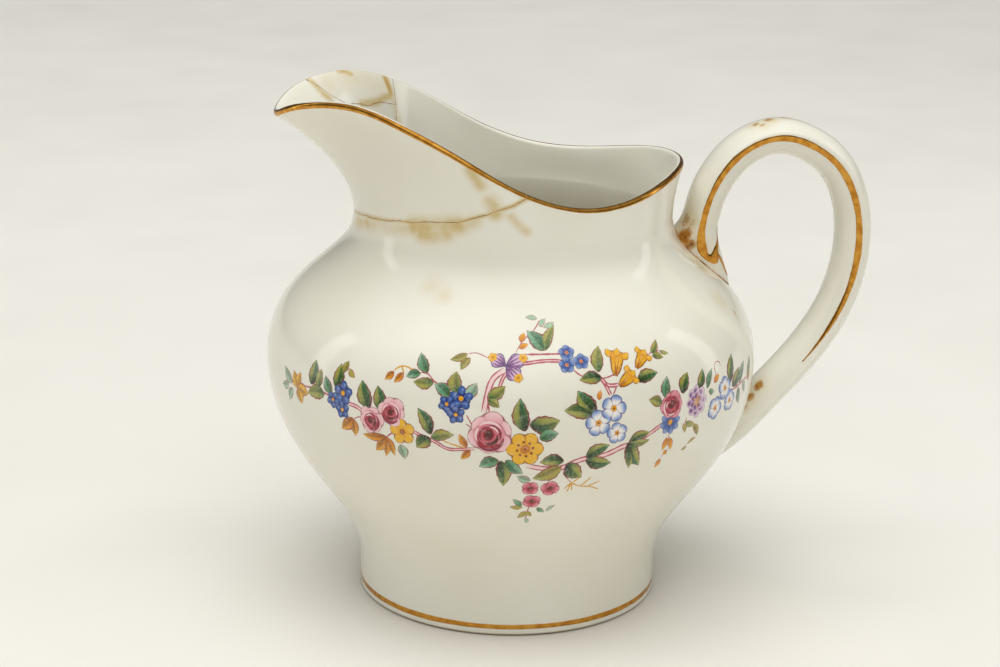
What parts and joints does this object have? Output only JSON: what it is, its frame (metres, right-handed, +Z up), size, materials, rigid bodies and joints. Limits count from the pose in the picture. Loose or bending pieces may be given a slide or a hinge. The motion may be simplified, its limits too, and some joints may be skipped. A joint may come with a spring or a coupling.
{
  "type": "cream jug",
  "caption": "Porcelain cream jug with a round belly, narrow neck, drawn-out pouring lip, loop handle, gilded edges and glued repairs.",
  "frame": {"origin": "on the table, under the middle of the whole jug's box; the turning axis of the body is at x = -0.01075", "axes": "+Z up, +X from the spout towards the handle, +Y across; y = 0 is the plane of symmetry"},
  "size_m": [0.1083, 0.0868, 0.0924],
  "materials": {
    "porcelain": "clear glossy glaze on warm white bone china, with painted flowers",
    "adhesive": "old yellow-brown glue, semi-gloss",
    "gilding": "fired bright gold, lightly worn"
  },
  "bodies": {
    "root": {"body": "porcelain", "spout_shard": "porcelain", "lip_chip": "porcelain", "handle": "porcelain", "spout_adhesive": "adhesive", "lip_chip_adhesive": "adhesive", "handle_upper_adhesive": "adhesive", "handle_lower_adhesive": "adhesive", "rim_gilding_body": "gilding", "rim_gilding_spout": "gilding", "rim_gilding_chip": "gilding", "handle_gilding_near": "gilding", "handle_gilding_far": "gilding", "foot_gilding": "gilding"}
  },
  "joints": []
}
